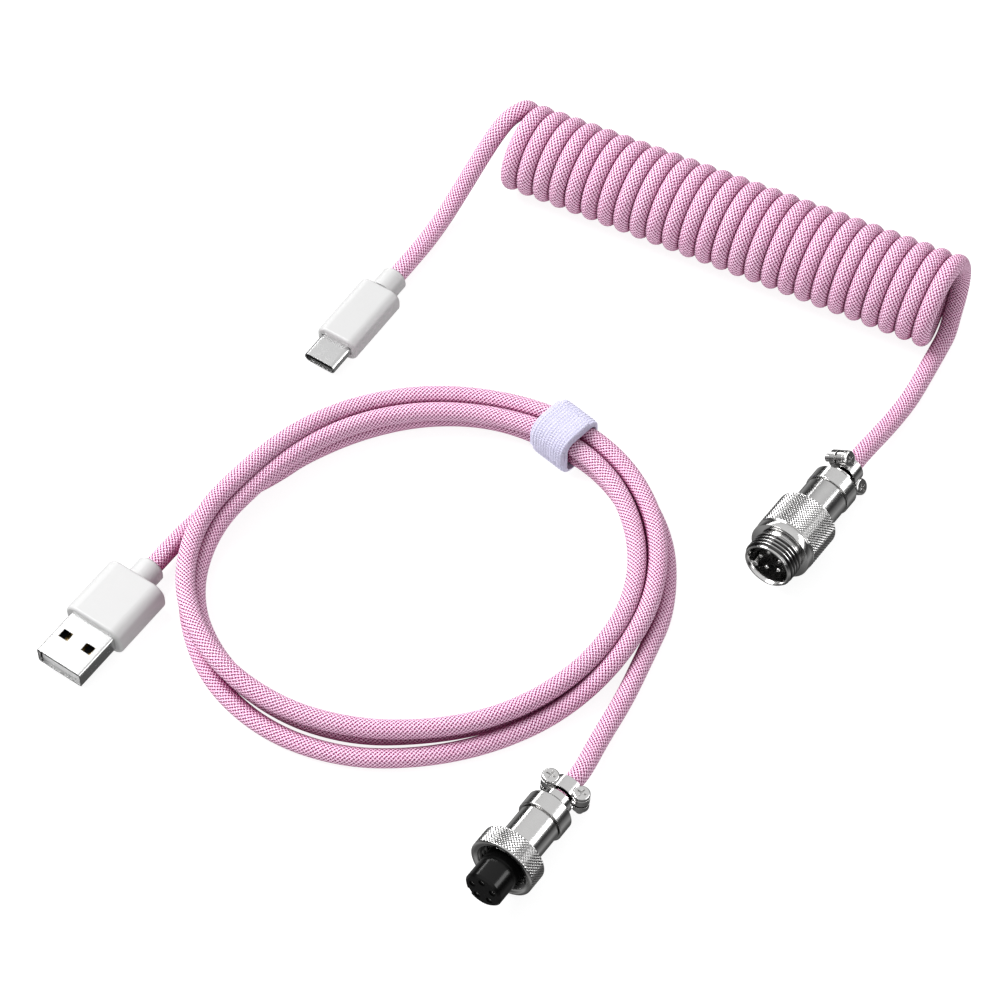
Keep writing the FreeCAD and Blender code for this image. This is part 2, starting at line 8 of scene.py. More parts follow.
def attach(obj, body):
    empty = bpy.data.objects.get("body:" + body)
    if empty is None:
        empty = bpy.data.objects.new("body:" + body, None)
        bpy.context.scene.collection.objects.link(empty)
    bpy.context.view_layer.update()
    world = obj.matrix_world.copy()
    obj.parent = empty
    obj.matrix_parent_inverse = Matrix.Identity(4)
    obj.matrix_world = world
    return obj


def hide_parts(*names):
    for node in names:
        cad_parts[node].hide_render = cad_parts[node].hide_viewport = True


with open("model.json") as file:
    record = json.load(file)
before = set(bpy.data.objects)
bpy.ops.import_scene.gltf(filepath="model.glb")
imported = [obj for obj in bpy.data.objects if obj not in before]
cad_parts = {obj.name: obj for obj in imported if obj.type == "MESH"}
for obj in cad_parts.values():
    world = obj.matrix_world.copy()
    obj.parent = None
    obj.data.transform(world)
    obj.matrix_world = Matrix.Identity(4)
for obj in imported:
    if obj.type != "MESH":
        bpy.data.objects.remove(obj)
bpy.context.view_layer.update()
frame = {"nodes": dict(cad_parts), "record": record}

MM = 0.001

# ------------------------------------------------------------------ driving sizes
# Cords, in metres.
CORD_D = 4.3 * MM
CORD_SIDES = 20

ORIGIN = Vector((-8.92, -21.65, 0.0)) * MM      # the layout point that is the frame's origin
MOUNTS = {mount["name"]: mount for mount in frame["record"]["mounts"]}

# Coil of the coiled half, in millimetres, as in the CAD model.
COIL_START = (3.2, 96.5)
COIL_HEADING = math.radians(-26.3)
COIL_TURNS = 26.5
COIL_PITCH = 4.22
COIL_R_START = 8.6
COIL_R_END = 9.45
TURN_POINTS = 14
COIL_SMOOTHNESS = 8               # line points for each control point of the coiled cord

# Oval ring of the straight half, in millimetres: its middle, and the angles of its points.
RING_CENTRE = (-16.8, -21.3)
RING_START = math.radians(130.0)
RING_STEP = math.radians(20.0)
RING_SMOOTHNESS = 24

# Turned metal, in millimetres. Places along a connector run from its seat, minus to the cord.
KNURL_COUNT = 60                  # grooves each way round
KNURL_SLANT = 1.0                 # how far a groove runs along for one pitch round
KNURL_DEPTH = 0.15
KNURL_STEPS = 6                   # mesh steps from one groove to the next
GROOVE_HALF = 0.36                # half a groove's width, in pitches
THREAD_PITCH = 1.0
THREAD_DEPTH = 0.55
THREAD_STEPS = 8                  # mesh rows in one pitch
THREAD_ROOT_FROM = 0.92           # in half pitches from the crest's middle
THREAD_FLANK = 0.8                # the flank's length, in half pitches
EDGE_ROUND = 0.14
FINE_ROUND = 0.08
ROUND_SHARE = 0.4                 # a corner's round takes no more of a run than this

MALE_GRIP_R = 7.4
MALE_GRIP_SPAN = (-16.7, -7.76)
MALE_ROOT_R = 5.45
MALE_THREAD_SPAN = (-4.9, -0.2)
MALE_BORE_R = 4.8
NUT_GRIP_R = 7.6
NUT_GRIP_SPAN = (-11.55, -7.06)
NUT_ROOT_R = 6.05
NUT_THREAD_SPAN = (-10.6, -7.15)

# Key rib in the male bore, in millimetres.
RIB_ANGLE = math.radians(220.0)
RIB_HALF = 0.7
RIB_OUTER_R = 4.95                # just inside the shell's wall

# Hook-and-loop strap round the ring, in millimetres.
STRAP_WIDTH = 10.0
STRAP_OPENING = (9.4, 9.2)
STRAP_T = 1.2
STRAP_CORNER = 3.2
TAB_T = 0.9
TAB_HINGE = (-2.6, 5.8)           # in the strap's section: across the cords, and up
TAB_EDGE_Z = -0.4
CLOTH_STEP = 0.13                 # mesh step round the tape
CLOTH_ACROSS = 100                # mesh steps across its outer face
CLOTH_BACK = 8                    # and across its inner face
CLOTH_BACK_WIDTH = 0.995          # the inner face's part of the tape's width
EDGE_POWER = 14                   # the higher, the squarer the tape's two edges
ROW_PITCH = 0.76                  # rows of the weave, side by side across the tape
ROW_HEIGHT = 0.13
ROW_FLAT = 0.7                    # how much of its height a row has where the tape is flat
ROW_BENT = 0.8                    # and how much more it gets where the tape bends
TUFT_PITCH = 0.62
TUFT_HEIGHT = 0.09
TUFT_SHIFT = 0.37                 # how the tufts of one row are set off from the next

# Braid, in the material.
STRANDS = 14                      # each way round the cord
STRAND_WAVE = 0.28                # how far a strand dips under the ones it crosses
BRAID_RELIEF = 0.34 * MM
# painted shade: within this reach, the braid darkens to dark red in hollows and between cords
PAINTED_SHADE_REACH = 12.0 * MM
STRAND_PINKS = ((1.0, 0.60, 0.82), (1.0, 0.72, 0.90))
FIBRE_PINK = (0.80, 0.36, 0.60)
# colour of the painted shade between cords and inside the coil
PAINTED_SHADE_RED = (0.34, 0.03, 0.15)
# painted shade in the braid's gaps between strands
GAP_SHADE_MAGENTA = (0.24, 0.002, 0.095)

TONGUE_LIT = 0.8 * MM             # how deep the front of the USB-A tongue stays white; behind it the block is painted nearly black as the shade inside the shell
TONGUE_FADE = 0.04 * MM

# Floor and camera, in metres. The lens is in millimetres.
FLOOR_HALF = 3.0
CAMERA_DISTANCE = 0.787
CAMERA_ELEVATION = math.radians(55.0)
CAMERA_LENS = 125.87


# ------------------------------------------------------------------ places
def laid(x, y, z):
    """A layout point in millimetres as a point of the frame, in metres."""
    return Vector((x, y, z)) * MM - ORIGIN


def seat_of(mount, ahead):
    """The seat of a connector, +X to its nose and +Z its upper side.

    ahead is how far the mount lies in front of the seat's datum, in millimetres.
    """
    nose = Vector(MOUNTS[mount]["axis"]).normalized()
    side = Vector((0, 0, 1)).cross(nose).normalized()
    upper = nose.cross(side)
    datum = Vector(MOUNTS[mount]["pos_m"]) - nose * ahead * MM
    turn = Matrix((nose, side, upper)).transposed().to_4x4()
    return Matrix.Translation(datum) @ turn


# Each connector's seat, and how far along it, in millimetres, a cord leaves its plug.
USB_C = seat_of("usb_c_plug", 6.65)
USB_A = seat_of("usb_a_plug", 11.75)
MALE = seat_of("male_thread", -2.2)
FEMALE = seat_of("female_insert", -3.5)


def strap_seat():
    """The strap's section: X along the cords, Y to the ring's middle, Z up."""
    joints = {joint["name"]: joint for joint in frame["record"]["behaviour"]["joints"]}
    hinge = joints["strap_peel"]
    along = Vector(hinge["axis"]).normalized()
    upper = Vector((0, 0, 1))
    inward = upper.cross(along)
    middle = Vector(hinge["pos_m"]) - (inward * TAB_HINGE[0] + upper * TAB_HINGE[1]) * MM
    return Matrix.Translation(middle) @ Matrix((along, inward, upper)).transposed().to_4x4()


def on_axis(seat, distance):
    """The point of a seat's axis that far, in millimetres, in front of its datum."""
    return seat @ Vector((distance * MM, 0, 0))


def coil_turns():
    """The coil's points, a close helix that grows a little along its length."""
    along = Vector((math.cos(COIL_HEADING), math.sin(COIL_HEADING), 0))
    toward = Vector((math.sin(COIL_HEADING), -math.cos(COIL_HEADING), 0))
    widen = 1 / math.cos(math.pi / TURN_POINTS)     # a control point lies outside its curve
    points = []
    for number in range(int(COIL_TURNS * TURN_POINTS) + 1):
        turns = number / TURN_POINTS
        radius = COIL_R_START + (COIL_R_END - COIL_R_START) * turns / COIL_TURNS
        angle = -2 * math.pi * turns
        middle = Vector((COIL_START[0], COIL_START[1], radius + CORD_D / MM / 2))
        middle += along * COIL_PITCH * turns
        reach = radius * widen
        point = middle + reach * (math.cos(angle) * Vector((0, 0, 1)) + math.sin(angle) * toward)
        points.append(laid(*point))
    return points


def ring_turns():
    """The ring's points: three and a half turns, each given by its radius and height."""
    radii_and_heights = [
        # first turn, along the floor inside, rising over the third where they cross
        (42.0, 2.15), (41.5, 2.15), (42.7, 2.15), (44.4, 2.5), (45.0, 3.7), (48.3, 2.3),
        (49.0, 2.15), (48.4, 2.15), (45.2, 2.15), (41.8, 2.15), (40.7, 2.15), (40.9, 2.15),
        (43.7, 2.15), (47.0, 3.0), (50.6, 5.9), (51.0, 6.6), (47.2, 7.9),
        # second turn, on top of the first
        (41.8, 8.6), (40.6, 7.5), (40.8, 6.45), (41.2, 6.45), (42.5, 6.6), (44.4, 8.0),
        (47.1, 6.6), (47.2, 6.45), (46.4, 6.45), (44.2, 6.45), (42.7, 6.45), (42.1, 6.45),
        (42.3, 6.45), (44.4, 6.45), (48.0, 7.1), (52.2, 9.9), (52.9, 10.7), (50.0, 11.3),
        # third turn, over the top and then down to the floor outside
        (44.9, 10.9), (44.2, 9.2), (45.4, 6.6), (45.8, 6.5), (47.1, 6.6), (48.9, 8.0),
        (51.7, 6.6), (52.1, 6.45), (50.7, 6.3), (48.2, 5.3), (46.3, 3.0), (45.5, 2.15),
        (46.6, 2.15), (49.5, 2.15), (52.0, 2.15), (53.2, 2.15), (52.5, 2.4), (50.9, 4.2),
        # last half turn, under the third
        (46.0, 7.1), (44.3, 4.9), (45.8, 2.3), (47.0, 2.15), (48.3, 2.5), (49.2, 3.7),
        (52.1, 2.3), (53.8, 2.15), (53.3, 2.15),
    ]
    widen = 1 / math.cos(RING_STEP / 2)
    angle = RING_START
    points = []
    for radius, height in radii_and_heights:
        reach = radius * widen
        x = RING_CENTRE[0] + reach * math.cos(angle)
        y = RING_CENTRE[1] + reach * math.sin(angle)
        points.append(laid(x, y, height))
        angle -= RING_STEP
    return points


def coiled_route():
    """The coiled cord's points, from the USB-C plug through the coil to the male connector."""
    lead = [
        on_axis(USB_C, -18.2), on_axis(USB_C, -24.5), on_axis(USB_C, -31.0),
        laid(-17.2, 73.5, 2.5), laid(-12.9, 80.7, 3.4), laid(-8.7, 86.9, 6.5),
        laid(-4.9, 90.8, 11.5), laid(-1.1, 94.0, 16.8), laid(2.0, 97.2, 18.9),
    ]
    tail = [
        laid(103.6, 45.8, 2.15), laid(101.2, 41.0, 2.15), laid(98.2, 35.3, 2.15),
        laid(93.6, 26.6, 2.2), laid(88.1, 18.5, 3.2), on_axis(MALE, -42.0),
        on_axis(MALE, -36.5), on_axis(MALE, -27.0),
    ]
    return lead + coil_turns()[1:-1] + tail


def straight_route():
    """The straight cord's points, from the USB-A plug round the ring to the female connector."""
    lead = [
        on_axis(USB_A, -15.5), on_axis(USB_A, -21.0), on_axis(USB_A, -27.0),
        laid(-69.3, -8.9, 2.2), laid(-63.5, -2.5, 2.15), laid(-56.5, 2.0, 2.15),
        laid(-50.2, 6.2, 2.15),
    ]
    tail = [
        laid(31.4, -42.8, 2.15), laid(26.6, -54.0, 2.15),
        laid(21.0, -64.8, 3.3), on_axis(FEMALE, -38.0), on_axis(FEMALE, -33.5),
        on_axis(FEMALE, -24.0),
    ]
    return lead + ring_turns() + tail


# ------------------------------------------------------------------ mesh helpers
def add_mesh(name, points, faces, body, material, smooth_angle=30.0):
    """A new piece from points and faces, riding on a CAD body."""
    mesh = bpy.data.meshes.new(name)
    mesh.from_pydata([tuple(point) for point in points], [], faces)
    mesh.polygons.foreach_set("use_smooth", [True] * len(mesh.polygons))
    mesh.set_sharp_from_angle(angle=math.radians(smooth_angle))
    mesh.materials.append(material)
    piece = bpy.data.objects.new(name, mesh)
    bpy.context.scene.collection.objects.link(piece)
    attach(piece, body)
    return piece


def loft_faces(rows, sides, joined=False):
    """Faces between neighbouring rows, each a ring of that many points, and its two end caps.

    A joined loft has no caps, because its last row runs on into its first.
    """
    faces = []
    for row in range(rows if joined else rows - 1):
        following = (row + 1) % rows
        for number in range(sides):
            after = (number + 1) % sides
            faces.append((row * sides + number, row * sides + after,
                          following * sides + after, following * sides + number))
    if not joined:
        faces.append(tuple(reversed(range(sides))))
        faces.append(tuple(range((rows - 1) * sides, rows * sides)))
    return faces


def spline_line(name, points, resolution):
    """Points along one smooth NURBS curve that has the route's points as its controls."""
    curve = bpy.data.curves.new(name, "CURVE")
    curve.dimensions = "3D"
    curve.resolution_u = resolution
    spline = curve.splines.new("NURBS")
    spline.points.add(len(points) - 1)
    for control, point in zip(spline.points, points):
        control.co = (*point, 1.0)
    spline.order_u = 3
    spline.use_endpoint_u = True
    holder = bpy.data.objects.new(name, curve)
    drawn = bpy.data.meshes.new_from_object(holder)
    line = [vertex.co.copy() for vertex in drawn.vertices]
    bpy.data.objects.remove(holder)
    bpy.data.curves.remove(curve)
    bpy.data.meshes.remove(drawn)
    return line


def frames_along(line):
    """A side direction and a second one at each point, carried along without twist."""
    frames = []
    side = None
    for number, point in enumerate(line):
        before = line[max(number - 1, 0)]
        after = line[min(number + 1, len(line) - 1)]
        along = (after - before).normalized()
        if side is None:
            side = along.cross(Vector((0, 0, 1)))
        side = (side - along * side.dot(along)).normalized()
        frames.append((side, along.cross(side)))
    return frames


def cord_mesh(name, line, radius, sides, body, material):
    """A round tube along the line, with UVs in cord circumferences both ways."""
    frames = frames_along(line)
    points = []
    for point, (side, other) in zip(line, frames):
        for number in range(sides):
            angle = 2 * math.pi * number / sides
            points.append(point + radius * (math.cos(angle) * side + math.sin(angle) * other))
    piece = add_mesh(name, points, loft_faces(len(line), sides), body, material, 60.0)
    piece.visible_glossy = False                    # the metal beside it mirrors no pink

    lengths = [0.0]
    for before, after in zip(line, line[1:]):
        lengths.append(lengths[-1] + (after - before).length)
    circumference = 2 * math.pi * radius
    layer = piece.data.uv_layers.new(name="braid")
    for number in range((len(line) - 1) * sides):
        row, place = divmod(number, sides)
        v0 = lengths[row] / circumference
        v1 = lengths[row + 1] / circumference
        corners = ((place / sides, v0), ((place + 1) / sides, v0),
                   ((place + 1) / sides, v1), (place / sides, v1))
        start = piece.data.polygons[number].loop_start
        for offset, corner in enumerate(corners):
            layer.data[start + offset].uv = corner
    return piece


# ------------------------------------------------------------------ turned metal
def softened(outline, size=EDGE_ROUND):
    """The outline with each inner corner cut back to a small round of three points."""
    points = [outline[0]]
    for before, corner, after in zip(outline, outline[1:], outline[2:]):
        corner = Vector(corner)
        run_in = corner - Vector(before)
        run_out = Vector(after) - corner
        cut = min(size, ROUND_SHARE * run_in.length, ROUND_SHARE * run_out.length)
        start = corner - run_in.normalized() * cut
        finish = corner + run_out.normalized() * cut
        points += [tuple(start), tuple((start + finish) / 4 + corner / 2), tuple(finish)]
    points.append(outline[-1])
    return points


def groove(turns):
    """1 in the middle of a V groove, which comes once each turn, and 0 beside it."""
    return max(0.0, 1.0 - abs(turns - round(turns)) / GROOVE_HALF)


def knurl_rows(radius, span):
    """Rows of a diamond knurl: two sets of V grooves that cross."""
    x0, x1 = span
    slant = 2 * math.pi * radius / KNURL_COUNT * KNURL_SLANT
    step = slant / KNURL_STEPS
    rows = []
    for number in range(int((x1 - x0) / step) + 1):
        run = number / KNURL_STEPS

        def reach(turn, run=run):
            deep = max(groove(turn * KNURL_COUNT + run), groove(turn * KNURL_COUNT - run))
            return radius - KNURL_DEPTH * deep

        rows.append((x0 + number * step, reach))
    return rows


def thread_rows(root, height, span):
    """Rows of a helical thread, fading out at both ends. Its height is negative in a bore."""
    x0, x1 = span
    step = THREAD_PITCH / THREAD_STEPS
    rows = []
    for number in range(int(round((x1 - x0) / step)) + 1):
        x = x0 + number * step
        ease = min(1.0, 2 * (x - x0), 2 * (x1 - x))

        def reach(turn, x=x, ease=ease):
            flank = 2 * abs((x / THREAD_PITCH - turn) % 1.0 - 0.5)
            rise = min(1.0, max(0.0, (THREAD_ROOT_FROM - flank) / THREAD_FLANK))
            return root + height * ease * rise

        rows.append((x, reach))
    return rows


def turned_mesh(name, rows, seat, body, material):
    """A closed turned shape. A row is (x, radius), and a radius may vary with the turn.

    The attribute "groove" is 1 at the bottom of a row's grooves and 0 at its crests, and the metal
    paints shade into the grooves by it.
    """
    sides = KNURL_COUNT * KNURL_STEPS
    points = []
    depths = []
    for x, radius in rows:
        if callable(radius):
            reaches = [radius(number / sides) for number in range(sides)]
        else:
            reaches = [radius] * sides
        crest = max(reaches)
        for number, reach in enumerate(reaches):
            angle = 2 * math.pi * number / sides
            place = Vector((x, reach * math.cos(angle), reach * math.sin(angle)))
            points.append(seat @ (place * MM))
            depths.append(min(1.0, (crest - reach) / KNURL_DEPTH))
    piece = add_mesh(name, points, loft_faces(len(rows), sides, joined=True), body, material)
    piece.data.attributes.new("groove", "FLOAT", "POINT").data.foreach_set("value", depths)
    return piece


def make_male_shell():
    """Threaded nose, flange, knurled grip and plain skirt round the bore; the key rib in the bore is
    made by make_key_rib.
    """
    skirt = softened([
        (-20.0, 4.5), (-25.0, 4.5), (-25.0, 5.2), (-17.1, 5.2), (-17.1, 7.1),
        (-16.85, 7.38), (-16.75, 7.38),
    ])
    flange = softened([
        (-7.72, 7.38), (-7.55, 7.3), (-7.5, 7.0), (-7.3, 7.0), (-7.25, 7.3),
        (-5.4, 7.3), (-5.4, MALE_ROOT_R), (-5.0, MALE_ROOT_R),
    ])
    rim_and_bore = softened([
        (-0.12, 5.6), (0.0, 5.5), (0.0, 5.15), (-0.8, MALE_BORE_R), (-11.0, MALE_BORE_R),
        (-11.0, 4.0), (-20.0, 4.0),
    ], FINE_ROUND)
    rows = skirt
    rows += knurl_rows(MALE_GRIP_R, MALE_GRIP_SPAN)
    rows += flange
    rows += thread_rows(MALE_ROOT_R, THREAD_DEPTH, MALE_THREAD_SPAN)
    rows += rim_and_bore
    shell = turned_mesh("male_threaded_shell", rows, MALE, "coiled_half", FINISHES["nickel"])
    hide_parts("male_front_shell")


def make_nut():
    """Knurled ring nut with a helical thread in its bore."""
    rear = softened([(-11.3, 4.85), (-12.0, 4.85), (-12.0, 7.2), (-11.7, 7.56), (-11.6, 7.56)])
    rim = softened([(-7.02, 7.56), (-6.8, 7.3), (-6.8, 6.8), (-7.1, 6.3), (-7.12, NUT_ROOT_R)], 0.1)
    bore = thread_rows(NUT_ROOT_R, -THREAD_DEPTH, NUT_THREAD_SPAN)
    step = softened([
        (-10.7, NUT_ROOT_R), (-11.1, NUT_ROOT_R), (-11.1, 4.9), (-11.2, 4.85),
    ], FINE_ROUND)
    rows = rear + knurl_rows(NUT_GRIP_R, NUT_GRIP_SPAN) + rim + bore[::-1] + step
    nut = turned_mesh("knurled_nut", rows, FEMALE, "coupling_nut", FINISHES["nickel"])
    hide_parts("coupling_nut")


def make_key_rib():
    """The rib in the male bore that enters the insert's keyway, round at its inner edge."""
    turn = Matrix.Rotation(RIB_ANGLE, 4, "X")
    shoulder = 0.7 * RIB_HALF
    section = [                         # radius, and place across the rib
        (RIB_OUTER_R, RIB_HALF), (4.25, RIB_HALF), (4.05, shoulder), (3.98, 0.0),
        (4.05, -shoulder), (4.25, -RIB_HALF), (RIB_OUTER_R, -RIB_HALF),
    ]
    stations = [(-6.5, 0.0), (-1.45, 0.0), (-1.25, 0.12), (-1.15, 0.35)]    # x, and how far it shrinks
    points = []
    for x, shrink in stations:
        for radius, side in section:
            place = Vector((x, min(RIB_OUTER_R, radius + shrink), side * (1 - shrink)))
            points.append(MALE @ turn @ (place * MM))
    faces = loft_faces(len(stations), len(section))
    rib = add_mesh("male_key_rib", points, faces, "coiled_half", FINISHES["nickel"], 40.0)


# ------------------------------------------------------------------ strap
def section_path(width, height, corner, step):
    """Points and outward normals of a rounded rectangle, from its upper left, clockwise."""
    path = []
    half_y = width / 2 - corner
    half_z = height / 2 - corner
    sides = [                           # corner's centre, outward, forward and length
        ((-half_y, half_z), (0, 1), (1, 0), 2 * half_y),
        ((half_y, half_z), (1, 0), (0, -1), 2 * half_z),
        ((half_y, -half_z), (0, -1), (-1, 0), 2 * half_y),
        ((-half_y, -half_z), (-1, 0), (0, 1), 2 * half_z),
    ]
    arc_steps = max(4, round(math.pi / 2 * corner / step))
    for centre, normal, forward, length in sides:
        centre = Vector(centre)
        normal = Vector(normal)
        forward = Vector(forward)
        steps = max(1, round(length / step))
        for number in range(steps):
            path.append((centre + normal * corner + forward * length * number / steps, normal))
        centre = centre + forward * length
        for number in range(arc_steps):
            angle = math.pi / 2 * number / arc_steps
            outward = normal * math.cos(angle) + forward * math.sin(angle)
            path.append((centre + outward * corner, outward))
    return path


def strap_band(name, path, closed, thickness, body):
    """Woven tape along a path: rows run round it and small tufts stand along each row."""
    ring = CLOTH_ACROSS + 1 + CLOTH_BACK + 1
    half = STRAP_WIDTH / 2
    seat = strap_seat()
    points = []
    run = 0.0
    before = path[0][0]
    for place, normal in path:
        run += (place - before).length
        before = place
        bend = abs(normal.x * normal.y)             # 0 on the sides, most at a corner's middle
        rows = ROW_HEIGHT * (ROW_FLAT + ROW_BENT * bend)
        for number in range(CLOTH_ACROSS + 1):
            u = -half + STRAP_WIDTH * number / CLOTH_ACROSS
            edge = (1 - abs(u / half) ** EDGE_POWER) ** 0.5
            swell = rows * (0.5 + 0.5 * math.cos(2 * math.pi * u / ROW_PITCH))
            row = round(u / ROW_PITCH)
            phase = run / TUFT_PITCH + TUFT_SHIFT * row * row
            tuft = TUFT_HEIGHT * math.cos(2 * math.pi * phase)
            lift = (thickness - rows + swell + tuft) * edge
            spot = place - normal * (thickness - lift)
            points.append(seat @ (Vector((u, spot.x, spot.y)) * MM))
        for number in range(CLOTH_BACK + 1):
            u = half - STRAP_WIDTH * number / CLOTH_BACK
            spot = place - normal * thickness
            points.append(seat @ (Vector((u * CLOTH_BACK_WIDTH, spot.x, spot.y)) * MM))
    faces = loft_faces(len(path), ring, closed)
    band = add_mesh(name, points, faces, body, FINISHES["lavender_strap"], 70.0)
    return band


def make_strap():
    """The closed loop, and its overlapping end from the hinge over the top and down the side."""
    outer = [size + 2 * STRAP_T for size in STRAP_OPENING]
    path = section_path(*outer, STRAP_CORNER, CLOTH_STEP)
    loop = strap_band("strap_band", path, True, STRAP_T, "straight_half")
    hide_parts("strap_loop")
    outer = [size + 2 * TAB_T for size in outer]
    path = section_path(*outer, STRAP_CORNER + TAB_T, CLOTH_STEP)
    kept = [spot for spot in path if spot[0].x >= TAB_HINGE[0] and spot[0].y >= TAB_EDGE_Z]
    tab = strap_band("strap_end", kept, False, TAB_T, "strap_tab")
    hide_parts("strap_tab")


# ------------------------------------------------------------------ material helpers
class Nodes:
    """Short calls for building one material's node tree."""

    def __init__(self, name):
        self.material = bpy.data.materials.new(name)
        self.material.use_nodes = True
        self.tree = self.material.node_tree
        self.shader = self.tree.nodes["Principled BSDF"]

    def put(self, socket, value):
        if hasattr(value, "is_output"):
            self.tree.links.new(value, socket)
        elif hasattr(value, "__len__") and len(value) == 3 and socket.type == "RGBA":
            socket.default_value = (*value, 1.0)
        else:
            socket.default_value = value

    def set(self, **values):
        for name, value in values.items():
            self.put(self.shader.inputs[name.replace("_", " ")], value)

    def math(self, operation, first, second=0.0, third=0.0):
        node = self.tree.nodes.new("ShaderNodeMath")
        node.operation = operation
        for socket, value in zip(node.inputs, (first, second, third)):
            self.put(socket, value)
        return node.outputs[0]

    def step(self, value, low, high):
        node = self.tree.nodes.new("ShaderNodeMapRange")
        node.interpolation_type = "SMOOTHSTEP"
        for name, number in (("Value", value), ("From Min", low), ("From Max", high)):
            self.put(node.inputs[name], number)
        return node.outputs[0]

    def mix(self, factor, first, second):
        node = self.tree.nodes.new("ShaderNodeMix")
        node.data_type = "RGBA"
        self.put(node.inputs[0], factor)
        self.put(node.inputs[6], first)
        self.put(node.inputs[7], second)
        return node.outputs[2]

    def noise(self, scale, detail=3.0, roughness=0.5):
        node = self.tree.nodes.new("ShaderNodeTexNoise")
        node.inputs["Scale"].default_value = scale
        node.inputs["Detail"].default_value = detail
        node.inputs["Roughness"].default_value = roughness
        place = self.tree.nodes.new("ShaderNodeTexCoord").outputs["Object"]
        self.tree.links.new(place, node.inputs["Vector"])
        return node.outputs["Fac"]

    def uv(self, layer):
        node = self.tree.nodes.new("ShaderNodeUVMap")
        node.uv_map = layer
        split = self.tree.nodes.new("ShaderNodeSeparateXYZ")
        self.tree.links.new(node.outputs[0], split.inputs[0])
        return split.outputs[0], split.outputs[1]

    def openness(self, reach):
        """1 where the surface lies open, towards 0 in a crevice or a hollow."""
        node = self.tree.nodes.new("ShaderNodeAmbientOcclusion")
        node.samples = 6
        node.inputs["Distance"].default_value = reach
        return node.outputs["AO"]

    def attribute(self, name):
        node = self.tree.nodes.new("ShaderNodeAttribute")
        node.attribute_name = name
        return node.outputs["Fac"]

    def bump(self, height, distance, strength=1.0, edge=0.0):
        node = self.tree.nodes.new("ShaderNodeBump")
        if edge:
            bevel = self.tree.nodes.new("ShaderNodeBevel")
            bevel.samples = 4
            bevel.inputs["Radius"].default_value = edge
            self.tree.links.new(bevel.outputs[0], node.inputs["Normal"])
        node.inputs["Strength"].default_value = strength
        node.inputs["Distance"].default_value = distance
        self.tree.links.new(height, node.inputs["Height"])
        self.tree.links.new(node.outputs[0], self.shader.inputs["Normal"])


def braid_material():
    """Light pink sleeve of crossing strands, with painted shade: dark magenta in its gaps, and dark
    red between cords and inside the coil.
    """
    nodes = Nodes("pink_braid")
    around, along = nodes.uv("braid")
    total = nodes.math("ADD", around, along)
    difference = nodes.math("SUBTRACT", around, along)
    right = nodes.math("MULTIPLY", total, STRANDS)
    left = nodes.math("MULTIPLY", difference, STRANDS)

    def profile(value):
        """A strand's round top, 1 in its middle and 0 at its two edges."""
        part = nodes.math("FRACT", value)
        offset = nodes.math("MULTIPLY_ADD", part, 2.0, -1.0)
        return nodes.math("SUBTRACT", 1.0, nodes.math("MULTIPLY", offset, offset))

    def lift(value, other):
        """Up and down along a strand, as it passes over and under the others."""
        row = nodes.math("FLOOR", value)
        phase = nodes.math("ADD", nodes.math("SUBTRACT", other, 0.5), row)
        wave = nodes.math("COSINE", nodes.math("MULTIPLY", phase, math.pi))
        return nodes.math("MULTIPLY_ADD", wave, STRAND_WAVE, 1.0 - STRAND_WAVE)

    right_height = nodes.math("MULTIPLY", profile(right), lift(right, left))
    left_lift = nodes.math("SUBTRACT", 2.0 * (1.0 - STRAND_WAVE), lift(right, left))
    left_height = nodes.math("MULTIPLY", profile(left), left_lift)
    height = nodes.math("MAXIMUM", right_height, left_height)
    fibre = nodes.noise(9000.0, 2.0)
    patch = nodes.noise(120.0, 2.0)
    lit = nodes.mix(patch, *STRAND_PINKS)
    strand = nodes.mix(nodes.math("MULTIPLY", fibre, 0.2), lit, FIBRE_PINK)
    # painted shade: ambient occlusion darkens the strands between cords and inside the coil
    opening = nodes.step(nodes.openness(PAINTED_SHADE_REACH), 0.05, 0.65)
    strand = nodes.mix(opening, PAINTED_SHADE_RED, strand)
    # painted shade: the gaps between strands take the dark magenta
    shade = nodes.step(height, 0.47, 0.67)
    nodes.set(Base_Color=nodes.mix(shade, GAP_SHADE_MAGENTA, strand),
              Roughness=nodes.math("MULTIPLY_ADD", fibre, 0.2, 0.5),
              Specular_IOR_Level=0.12)
    nodes.bump(nodes.math("ADD", height, nodes.math("MULTIPLY", fibre, 0.12)), BRAID_RELIEF)
    return nodes.material


def metal_material(name, colour, roughness, grain):
    """Plated metal with faint turning marks and handling haze, with painted shade down in its grooves.
    """
    nodes = Nodes(name)
    haze = nodes.noise(700.0, 4.0, 0.6)
    marks = nodes.noise(9000.0, 2.0)
    plated = nodes.mix(haze, colour, tuple(0.9 * part for part in colour))
    # painted shade: the metal darkens towards the bottom of knurl and thread grooves
    groove_shade = tuple(0.12 * part for part in colour)
    nodes.set(Base_Color=nodes.mix(nodes.attribute("groove"), plated, groove_shade), Metallic=1.0,
              Roughness=nodes.math("MULTIPLY_ADD", haze, 0.12, roughness))
    nodes.bump(marks, grain, 0.4, 0.1 * MM)
    return nodes.material


def plastic_material(name, colour, roughness, mottle, shine=0.5):
    """Moulded plastic with a very fine texture."""
    nodes = Nodes(name)
    cloud = nodes.noise(260.0, 3.0)
    skin = nodes.noise(5200.0, 3.0)
    nodes.set(Base_Color=nodes.mix(cloud, colour, tuple(mottle * part for part in colour)),
              Roughness=nodes.math("MULTIPLY_ADD", cloud, 0.14, roughness),
              Specular_IOR_Level=shine)
    nodes.bump(skin, 0.02 * MM, 0.5)
    return nodes.material


